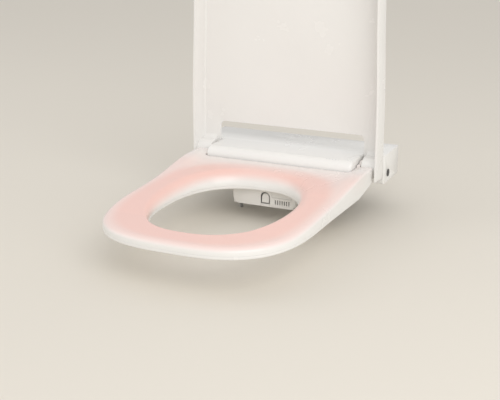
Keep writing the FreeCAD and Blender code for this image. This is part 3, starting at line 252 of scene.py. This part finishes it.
def arc(x, z, radius, start, end, steps):
    """Points on part of a circle, between two angles in degrees."""
    angles = [math.radians(start + (end - start) * k / steps) for k in range(steps + 1)]
    return [(x + radius * math.cos(a), z + radius * math.sin(a)) for a in angles]


def round_edges(piece, radius, steps, test):
    """Rounds the edges whose two ends, in millimetres, both pass a test."""
    mesh = edit(piece, "EDGE")
    for edge in mesh.edges:
        if all(test(*(v.co * 1000)) for v in edge.verts):
            edge.select_set(True)
    bmesh.update_edit_mesh(piece.data)
    bpy.ops.mesh.bevel(offset=radius / 1000, segments=steps, affect="EDGES", clamp_overlap=False)
    bpy.ops.object.mode_set(mode="OBJECT")
    return piece


def combine(piece, other, operation):
    """Joins or cuts a piece with another one, which is used up."""
    bpy.ops.object.select_all(action="DESELECT")
    piece.select_set(True)
    bpy.context.view_layer.objects.active = piece
    step = piece.modifiers.new("shape", "BOOLEAN")
    step.object = other
    step.operation = operation
    step.solver = "EXACT"
    bpy.ops.object.modifier_apply(modifier=step.name)
    bpy.data.objects.remove(other)
    return piece


def finish_edges(piece, radius, steps=2, angle=40):
    """Breaks every sharp edge of a finished shape and shades the rest of it smooth."""
    bpy.ops.object.select_all(action="DESELECT")
    piece.select_set(True)
    bpy.context.view_layer.objects.active = piece
    step = piece.modifiers.new("edges", "BEVEL")
    step.width = radius / 1000
    step.segments = steps
    step.limit_method = "ANGLE"
    step.angle_limit = math.radians(angle)
    step.miter_outer = "MITER_ARC"
    bpy.ops.object.modifier_apply(modifier=step.name)
    bpy.ops.object.shade_smooth_by_angle(angle=math.radians(35))
    return piece


outline = [(61.5, 2), (-65, 2)] + arc(-53, -19, 12, 180, 270, 12) + arc(49.5, -19, 12, 270, 360, 12)
bezel = add_prism("bezel", outline, -62, -59.5, axis="Y")
arch = add_prism("arch", [(-8.5, -26), (10.5, -26)] + arc(1, -12.5, 9.5, 0, 180, 24), -70, -50, axis="Y")
combine(bezel, arch, "DIFFERENCE")
for x in (-8.5, 10.5):
    combine(bezel, add_block("groove", (x - 0.4, -63, -32), (x + 0.4, -61.2, -26.5)), "DIFFERENCE")
for index in range(7):
    x = 21.5 + 4.53 * index
    ends = arc(x, -16.95, 0.95, 0, 180, 8) + arc(x, -24.05, 0.95, 180, 360, 8)
    combine(bezel, add_prism("slot", ends, -70, -50, axis="Y"), "DIFFERENCE")
combine(bezel, add_block("window", (14.5, -70, -12), (54, -50, 0.55)), "DIFFERENCE")
finish_edges(bezel, 0.35)
dress(bezel, white_moulding)
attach(bezel, "housing")
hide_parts("nozzle_bezel")

# ---- warm-air flap
# A thin white leaf on a steel pin. The stream of warm air lifts it, and it falls shut by itself.

dress(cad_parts["dryer_flap"], white_moulding)
dress(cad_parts["flap_pin"], steel)

# ---- wand
# A white moulded tip and tube with a round back and a flat underside, which slide down out of the
# arch. A rack behind the tube meets the brass pinion of a small stepper motor.

wand_turn = Matrix.Rotation(math.radians(28), 4, "X")
mouth_y, mouth_z = -0.062, -0.0153
section = arc(0, 0, 7.1, 0, 180, 30) + [(-7.1, -6.9), (-6.8, -7.6), (-6.1, -7.9)]
section += [(6.1, -7.9), (6.8, -7.6), (7.1, -6.9)]
tip = add_prism("wand_tip", section, -8, 16, axis="Y")
tip.matrix_world = Matrix.Translation((0.001, mouth_y, mouth_z)) @ wand_turn
tip.select_set(True)
settle(tip, "wand_tip")
combine(tip, add_block("front_cut", (-20, -90, -60), (20, -61.5, 40)), "DIFFERENCE")
finish_edges(tip, 0.8, steps=3)
dress(tip, white_moulding)
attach(tip, "wand")
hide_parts("nozzle_tip")
brass = surface("turned_brass", (0.64, 0.46, 0.20), 0.30, metallic=1.0, tone=0.08, scale=50)
dress(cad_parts["wand_tube"], white_moulding)
dress(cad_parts["wand_rack"], white_moulding)
dress(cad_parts["drive_pinion"], brass)
dress(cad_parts["wand_motor"], steel)
dress(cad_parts["wand_guide"], grey_moulding)

# ---- water
# Cold water enters by a brass half-inch stub, passes a strainer and a solenoid valve, and is warmed
# in a flat tank. A pump sends it through a rubber pipe to the valve that feeds the wand.

black_moulding = surface("black_moulding", (0.022, 0.022, 0.024), 0.38, tone=0.15, grain=0.3)
hose_rubber = surface("hose_rubber", (0.08, 0.08, 0.08), 0.7, tone=0.15, grain=0.8)
for name, material in (("water_inlet", brass), ("inlet_strainer", steel),
                       ("solenoid_valve", white_moulding), ("cold_pipe", hose_rubber),
                       ("water_heater", grey_moulding), ("water_pump", black_moulding),
                       ("warm_pipe", hose_rubber), ("diverter_valve", grey_moulding),
                       ("feed_pipe", steel)):
    dress(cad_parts[name], material)

# ---- warm air and deodoriser
# A drum blower sends air over a heating grid to the flap. On the right a small fan draws air in by
# the bezel's slots, through a block of activated carbon, and out through the base plate.

charcoal = surface("activated_carbon", (0.02, 0.02, 0.02), 0.9, tone=0.4, scale=400, grain=0.85)
for name, material in (("dryer_duct", grey_moulding), ("dryer_heater", steel),
                       ("blower_case", black_moulding), ("blower_motor", steel),
                       ("blower_impeller", black_moulding), ("odour_duct", grey_moulding),
                       ("filter_case", grey_moulding), ("carbon_filter", charcoal),
                       ("fan_case", black_moulding), ("fan_rotor", black_moulding)):
    dress(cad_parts[name], material)

# ---- power and control
# A closed supply and a green board at the rear right, a cable gland in the base plate, and a card
# with five lights under the hinge bar.

green_board = surface("green_board", (0.03, 0.16, 0.07), 0.35, tone=0.2, scale=300)
for name, material in (("power_supply", black_moulding), ("main_board", green_board),
                       ("cable_gland", black_moulding), ("indicator_board", green_board),
                       ("button_switch", black_moulding), ("latch_arm", grey_moulding)):
    dress(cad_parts[name], material)

# ---- housing cover
# One glossy white moulding: a long bar with a round nose in front and a wider box behind it. Between
# the bar's ends and the box's cheeks are the recesses in which the arms of the lid turn.


def inward(ring, inset):
    """A closed ring of points in plan, set in square to itself; a positive inset goes to its left."""
    moved = []
    for a, b, c in zip(ring[-1:] + ring[:-1], ring, ring[1:] + ring[:1]):
        along = Vector(c) - Vector(a)
        side = Vector((-along.y, along.x)).normalized()
        moved.append((b[0] + side.x * inset, b[1] + side.y * inset))
    return moved


def loft(name, rings, closed):
    """A skin through rings of points in millimetres: closed into a tube, or capped at both ends."""
    count = len(rings[0])
    bpy.ops.object.select_all(action="DESELECT")
    bpy.ops.mesh.primitive_circle_add(vertices=count, radius=1)
    piece = bpy.context.object
    piece.name = name
    for vertex, point in zip(piece.data.vertices, rings[0]):
        vertex.co = Vector(point) / 1000
    edit(piece, "EDGE")
    bpy.ops.mesh.select_all(action="SELECT")
    for last, ring in zip(rings, rings[1:]):
        tree = KDTree(count)
        for index, point in enumerate(last):
            tree.insert(Vector(point) / 1000, index)
        tree.balance()
        bpy.ops.mesh.extrude_edges_indiv()
        mesh = bmesh.from_edit_mesh(piece.data)
        for vertex in mesh.verts:
            if vertex.select:
                vertex.co = Vector(ring[tree.find(vertex.co)[1]]) / 1000
        bmesh.update_edit_mesh(piece.data)
    if not closed:
        bpy.ops.mesh.edge_face_add()
        bpy.ops.mesh.select_all(action="DESELECT")
    mesh = bmesh.from_edit_mesh(piece.data)
    for edge in mesh.edges:
        if edge.is_boundary:
            edge.select_set(True)
    bmesh.update_edit_mesh(piece.data)
    if closed:
        bpy.ops.mesh.bridge_edge_loops()
    else:
        bpy.ops.mesh.edge_face_add()
    bpy.ops.mesh.select_all(action="SELECT")
    bpy.ops.mesh.normals_make_consistent(inside=False)
    bpy.ops.object.mode_set(mode="OBJECT")
    return piece


white_gloss = surface("white_gloss", (0.845, 0.835, 0.815), 0.26, tone=0.012, scale=12, coat=0.12)
hinge = (43, 37)
cover_foot = 0.8
top_level = 57
cover = add_block("cover", (-190, 66, cover_foot), (190, 157, top_level))
round_edges(cover, 3.5, 6, lambda x, y, z: (z > 56.9 and y < 67) or (y < 67 and abs(x) > 189.9))
outline = [(-9.5, -8), (-9.5, 0)] + arc(6.5, 41, 16, 180, 90, 16)
outline += [(62, top_level), (72, top_level), (72, 47), (72, -8)]
bar_half = 149
end_round = 5
rings = []
for index in range(6):
    a = math.radians(18 * index)
    x = bar_half - end_round * (1 - math.cos(a))
    rings.append([(-x, y, z) for y, z in inward(outline, end_round * (math.sin(a) - 1))])
rings += [[(-x, y, z) for x, y, z in ring] for ring in reversed(rings)]
bar = loft("bar", rings, False)
combine(bar, add_block("foot_cut", (-160, -20, -20), (160, 90, cover_foot)), "DIFFERENCE")
combine(cover, bar, "UNION")
room = add_block("room", (-187.2, 68.8, -10), (187.2, 154.2, 54.2))
nose = add_block("bar_room", (-146.2, -6.7, -10), (146.2, 75, 54.2))
round_edges(nose, 13.2, 12, lambda x, y, z: y < -6.6 and z > 54.1)
combine(room, nose, "UNION")
combine(cover, room, "DIFFERENCE")
combine(cover, add_block("nozzle_window", (-65.3, -12, -2), (61.8, -5.7, 24.6)), "DIFFERENCE")
button_axis = (92, 17.5)
combine(cover, add_rod("button_hole", 7.3, (180, *button_axis), (200, *button_axis)), "DIFFERENCE")
combine(cover, add_block("release_hole", (-200, 78.7, 10.2), (-180, 105.3, 24.8)), "DIFFERENCE")
combine(cover, add_rod("hinge_bore", 5.1, (-160, *hinge), (160, *hinge)), "DIFFERENCE")
finish_edges(cover, 0.4)
dress(cover, white_gloss)
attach(cover, "housing")
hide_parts("housing_cover")

# ---- lights
# Five small clear lenses in a row near the right end of the bar. They stand where its top turns
# down to the nose, and only the front of each comes up to the surface.

clear_lens = surface("clear_lens", (0.52, 0.55, 0.58), 0.15, tone=0.05)
first_x = 97
lights = add_rod("lights", 1.2, (first_x, 3, 50), (first_x, 3, 56.7), sides=32)
for index in range(1, 5):
    x = first_x + 6 * index
    combine(lights, add_rod("light", 1.2, (x, 3, 50), (x, 3, 56.7), sides=32), "UNION")
finish_edges(lights, 0.25)
dress(lights, clear_lens)
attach(lights, "housing")
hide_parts("indicator_lenses")

# ---- side button and release button
# A round black push button on the right cheek, and a white one on the left cheek that lets the
# housing slide off its bracket.

button = add_rod("push_button", 7, (184.2, *button_axis), (190.9, *button_axis))
combine(button, add_rod("push_button_rim", 8.4, (184.2, *button_axis), (187.0, *button_axis)), "UNION")
combine(button, add_rod("push_button_stem", 2.2, (179.2, *button_axis), (185, *button_axis)), "UNION")
finish_edges(button, 0.4, steps=3)
dress(button, black_moulding)
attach(button, "button")
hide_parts("side_button")

release = add_block("unclip_button", (-190.6, 79, 10.5), (-181.2, 105, 24.5))
round_edges(release, 3, 6, lambda x, y, z: True)
dress(release, white_gloss)
bpy.ops.object.shade_smooth_by_angle(angle=math.radians(35))
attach(release, "release")
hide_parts("release_button")

# ---- hinge
# The seat's steel shaft and the lid's turn in grey sleeves, the dampers, inside the ends of the bar.

for name, material in (("seat_damper", grey_moulding), ("lid_damper", grey_moulding), ("seat_shaft", steel),
                       ("lid_shaft", steel), ("seat_bush", grey_moulding), ("lid_bush", grey_moulding)):
    dress(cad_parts[name], material)

# ---- seat
# A hollow ring of two glossy mouldings, joined along a line near the bottom, with the heating foil
# inside. Two ears run back beside the hinge bar and end in lugs on the seat's shaft. The ring
# is warm to the touch where it is tinted.


def spaced(path, gap):
    """Points at even distances along a broken line."""
    lengths = [0.0]
    for a, b in zip(path, path[1:]):
        lengths.append(lengths[-1] + math.dist(a, b))
    count = max(1, round(lengths[-1] / gap))
    points = []
    at = 0
    for index in range(count + 1):
        want = lengths[-1] * index / count
        while at < len(path) - 2 and lengths[at + 1] < want:
            at += 1
        share = (want - lengths[at]) / (lengths[at + 1] - lengths[at])
        points.append(tuple(a + (b - a) * share for a, b in zip(path[at], path[at + 1])))
    return points


def smooth(t):
    """A soft step that climbs from 0 to 1 as t does."""
    t = max(0.0, min(1.0, t))
    return t * t * (3 - 2 * t)


def half_outline(half, front, flare, back):
    """Right-hand edge of the seat or the lid from its nose to the rear, seen from above."""
    path = []
    for index in range(181):
        a = math.radians(90 - index / 2)
        y = -221 + (front + 221) * math.sin(a) ** (2 / 3.118)
        path.append((half * max(0.0, math.cos(a)) ** (2 / 2.902), y))
    for index in range(1, 101):
        path.append((half, -221 + (back + 221) * index / 100))
    extra, start, end = flare
    return [(x + extra * smooth((y - start) / (end - start)), y) for x, y in path]


seat_foot = 3.0
foot_round = 2.5
HEIGHTS = ((-440, 21.6), (-340, 22.6), (-310, 24.9), (-280, 27.0), (-250, 28.6), (-220, 29.8), (-190, 31.1),
           (-160, 33.0), (-130, 36.2), (-100, 39.6), (-70, 42.8), (-40, 45.0), (30, 45.0))


def seat_height(x, y):
    """Top of the seat, which rises to the rear and has a shallow hollow there between the ears."""
    for (y0, z0), (y1, z1) in zip(HEIGHTS, HEIGHTS[1:]):
        if y <= y1:
            break
    z = z0 + (z1 - z0) * (y - y0) / (y1 - y0)
    return z - 6 * smooth((y + 150) / 100) * (1 - smooth((abs(x) - 140) / 25))


def climb(line, side, wall, over):
    """Rings along one edge of the seat, set in by a wall: round its foot, up, and over onto the top."""
    square = inward(line, side)
    foot = max(0.3, foot_round - wall)
    rings = []
    for index in range(14):
        ring = []
        for (x, y), (nx, ny) in zip(line, square):
            across, down = over(x, y, wall)
            if index < 4:
                a = math.radians(30 * index)
                shift = wall + foot * (1 - math.sin(a))
            else:
                a = math.radians(10 * (index - 4))
                shift = wall + across * (1 - math.cos(a))
            px = x + (nx - x) * shift
            py = y + (ny - y) * shift
            low_z = seat_foot + wall + foot * (1 - math.cos(a))
            top_z = seat_height(px, py) - wall - down * (1 - math.sin(a))
            ring.append((px, py, low_z if index < 4 else top_z))
        rings.append(ring)
    return rings


def outer_round(x, y, wall):
    """How far the rounding of the outer edge reaches in and down; it is tighter on the ears."""
    ear = smooth((y + 130) / 110)
    return 11.0 - 6.5 * ear - wall, 7.5 - 3.0 * ear - wall


def inner_round(x, y, wall):
    """The opening's edge is a soft slope, which is narrow at the nose and wide at the rear."""
    return 6.0 + 18.0 * smooth((y + 379) / 200), seat_height(x, y) - wall - 8.0


hole_y = -228
hole_half, hole_length, hole_power = 113, 151, 2.4


def oval(a, half, length, power):
    """How far an oval about the middle of the opening reaches at an angle."""
    return (abs(math.cos(a) / half) ** power + abs(math.sin(a) / length) ** power) ** (-1 / power)


edge = spaced(half_outline(177.6, -434.9, (4.0, -230, -30), 17), 7)
corner_x = edge[-1][0] - 5
for index in range(1, 5):
    a = math.radians(22.5 * index)
    edge.append((corner_x + 5 * math.cos(a), 17 + 5 * math.sin(a)))
edge += spaced([edge[-1], (0.0, 22.0)], 12)[1:]
seat_edge = edge + [(-x, y) for x, y in reversed(edge[1:-1])]
hole_edge = []
for x, y in seat_edge:
    a = math.atan2(y - hole_y, x)
    reach = oval(a, hole_half, hole_length, hole_power)
    hole_edge.append((reach * math.cos(a), hole_y + reach * math.sin(a)))


def seat_solid(name, wall):
    """The ring, set in by a wall, less the gap for the hinge bar and the nozzle block's tunnel."""
    outside = climb(seat_edge, 1, wall, outer_round)
    inside = climb(hole_edge, -1, wall, inner_round)
    across = []
    for k in range(1, 16):
        ring = []
        for a, b in zip(outside[-1], inside[-1]):
            x = a[0] + (b[0] - a[0]) * k / 16
            y = a[1] + (b[1] - a[1]) * k / 16
            ring.append((x, y, seat_height(x, y) - wall))
        across.append(ring)
    solid = loft(name, outside + across + inside[::-1], True)
    gap = add_block("bar_gap", (-150.6 - wall, -12 - wall, -10), (150.6 + wall, 60, 90))
    combine(solid, gap, "DIFFERENCE")
    climbing = [(-62, seat_foot + wall), (23, 17 + wall), (23, -5), (-62, -5)]
    combine(solid, add_prism("under_ears", climbing, -200, 200), "DIFFERENCE")
    tunnel = add_block("tunnel", (-67 - wall, -30, -60), (63.5 + wall, 90, 12.1 + wall))
    tunnel.matrix_world = Matrix.Translation((0, mouth_y, mouth_z)) @ wand_turn
    tunnel.select_set(True)
    bpy.context.view_layer.objects.active = tunnel
    settle(tunnel, "tunnel")
    return combine(solid, tunnel, "DIFFERENCE")


seat = seat_solid("seat_upper", 0.0)
combine(seat, seat_solid("hollow", 2.6), "DIFFERENCE")
base = seat.copy()
base.data = seat.data.copy()
base.name = "seat_lower"
bpy.context.collection.objects.link(base)
combine(seat, add_block("below_joint", (-200, -500, -20), (200, 100, 9.15)), "DIFFERENCE")
combine(base, add_block("above_joint", (-200, -500, 8.85), (200, 100, 80)), "DIFFERENCE")
for side in (-1, 1):
    lug = add_rod("lug", 12.5, (side * 150.6, *hinge), (side * 156.2, *hinge))
    low_x, high_x = sorted((side * 150.6, side * 156.2))
    combine(lug, add_block("lug_neck", (low_x, 20, 27), (high_x, 43, 45)), "UNION")
    combine(seat, lug, "UNION")
combine(seat, add_rod("shaft_bore", 5.02, (140, *hinge), (160, *hinge)), "DIFFERENCE")
combine(seat, add_rod("bush_bore", 7.02, (-160, *hinge), (-140, *hinge)), "DIFFERENCE")
finish_edges(seat, 0.5)
finish_edges(base, 0.3)

warm_gloss = white_gloss.copy()
warm_gloss.name = "warm_gloss"
nodes = warm_gloss.node_tree.nodes
links = warm_gloss.node_tree.links
warmth = nodes.new("ShaderNodeAttribute")
warmth.attribute_name = "warmth"
tint = nodes.new("ShaderNodeMix")
tint.data_type = "RGBA"
tint.inputs["B"].default_value = (0.87, 0.56, 0.50, 1)
links.new(warmth.outputs["Fac"], tint.inputs["Factor"])
plain = [node for node in nodes if node.label == "tone"][0]
links.new(plain.outputs["Result"], tint.inputs["A"])
links.new(tint.outputs["Result"], nodes["Principled BSDF"].inputs["Base Color"])
warm = seat.data.attributes.new("warmth", "FLOAT", "POINT")
for index, vertex in enumerate(seat.data.vertices):
    x, y, z = vertex.co * 1000
    a = math.atan2(y - hole_y, x)
    inner = oval(a, hole_half, hole_length, hole_power)
    outer = oval(a, 177, 207, 2.95)
    share = (math.hypot(x, y - hole_y) - inner) / (outer - inner)
    depth = seat_height(x, y) - z
    side = 1 - smooth(depth / 8) if share > 0.5 else 1 - smooth((depth - 2) / 20)
    rear = 1 - 0.75 * smooth((y + 85) / 85)
    warm.data[index].value = (0.95 - 0.40 * smooth((share - 0.6) / 0.38)) * side * rear
dress(seat, warm_gloss)
dress(base, white_gloss)
for piece, node in ((seat, "seat_top"), (base, "seat_base")):
    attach(piece, "seat")
    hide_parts(node)

pad_rubber = surface("pad_rubber", (0.60, 0.59, 0.56), 0.65, grain=0.5)
foil = surface("heating_foil", (0.70, 0.70, 0.71), 0.35, metallic=1.0)
dress(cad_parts["heating_foil"], foil)
dress(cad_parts["occupancy_sensor"], black_moulding)
dress(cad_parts["seat_bumpers"], pad_rubber)

# ---- lid
# One glossy moulding like a shallow tray, drawn here as if it were closed and then swung open. Its
# rear is cut out for the hinge bar, and the two arms left beside the cut end in round knuckles.


def lid_solid(name, side, top, radius, low):
    """The lid's outline, set in, drawn up from a low level and rounded over at the top."""
    right = spaced(half_outline(183.8, -442.0, (6.0, -270, -40), 70), 7)
    for k in range(1, 9):
        a = math.radians(90 * k / 8)
        right.append((169.8 + 20 * math.cos(a), 70 + 20 * math.sin(a)))
    right += spaced([right[-1], (0.0, 90.0)], 20)[1:]
    outline = right + [(-x, y) for x, y in reversed(right[1:-1])]
    rings = [[(x, y, low) for x, y in inward(outline, side)]]
    for k in range(9):
        a = math.radians(90 * k / 8)
        shift = side + radius * (1 - math.cos(a))
        level = top_level - top - radius * (1 - math.sin(a))
        rings.append([(x, y, level) for x, y in inward(outline, shift)])
    return loft(name, rings, False)


lid = lid_solid("lid_cap", 0.0, 0.0, 8, 9)
combine(lid, lid_solid("lid_hollow", 3.4, 4.0, 4, 0), "DIFFERENCE")
notch = add_block("notch", (-151, -14, -10), (151, 110, 90))
round_edges(notch, 10, 10, lambda x, y, z: y < -13.9 and abs(x) > 150.9)
combine(lid, notch, "DIFFERENCE")
corner = [(43, 56), (43, 37), (23, 37)] + arc(14, 44, 9, 0, 90, 8)
corner.append((14, 56))
for side in (-1, 1):
    knuckle = add_rod("knuckle", 20, (side * 157, *hinge), (side * 192, *hinge), sides=96)
    round_edges(knuckle, 1.5, 4, lambda x, y, z: abs(x) < 157.1)
    combine(knuckle, add_prism("corner", corner, side * 158, side * 192), "UNION")
    combine(knuckle, lid_solid("middle", 1.7, 2.0, 6, 9), "INTERSECT")
    combine(lid, knuckle, "UNION")
sweep = add_block("sweep", (-300, 43, -20), (300, 103, 120))
combine(sweep, add_rod("arm_end", 21, (-301, *hinge), (301, *hinge), sides=128), "DIFFERENCE")
combine(sweep, add_block("arm_foot", (-301, 42, -21), (301, 62, 37)), "DIFFERENCE")
combine(lid, sweep, "DIFFERENCE")
combine(lid, add_rod("bush_bore", 7.02, (150, *hinge), (181, *hinge)), "DIFFERENCE")
combine(lid, add_rod("shaft_bore", 5.02, (-181, *hinge), (-150, *hinge)), "DIFFERENCE")
finish_edges(lid, 0.8, steps=3, angle=50)
axis = Vector((0, *hinge)) / 1000
opened = Matrix.Rotation(math.radians(-90), 4, "X")
lid.matrix_world = Matrix.Translation(axis) @ opened @ Matrix.Translation(-axis)
lid.select_set(True)
settle(lid, "lid")
dress(lid, white_gloss)
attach(lid, "lid")
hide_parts("lid_shell")
dress(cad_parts["lid_bumpers"], pad_rubber)

size = [list(cad_low), list(cad_high)]
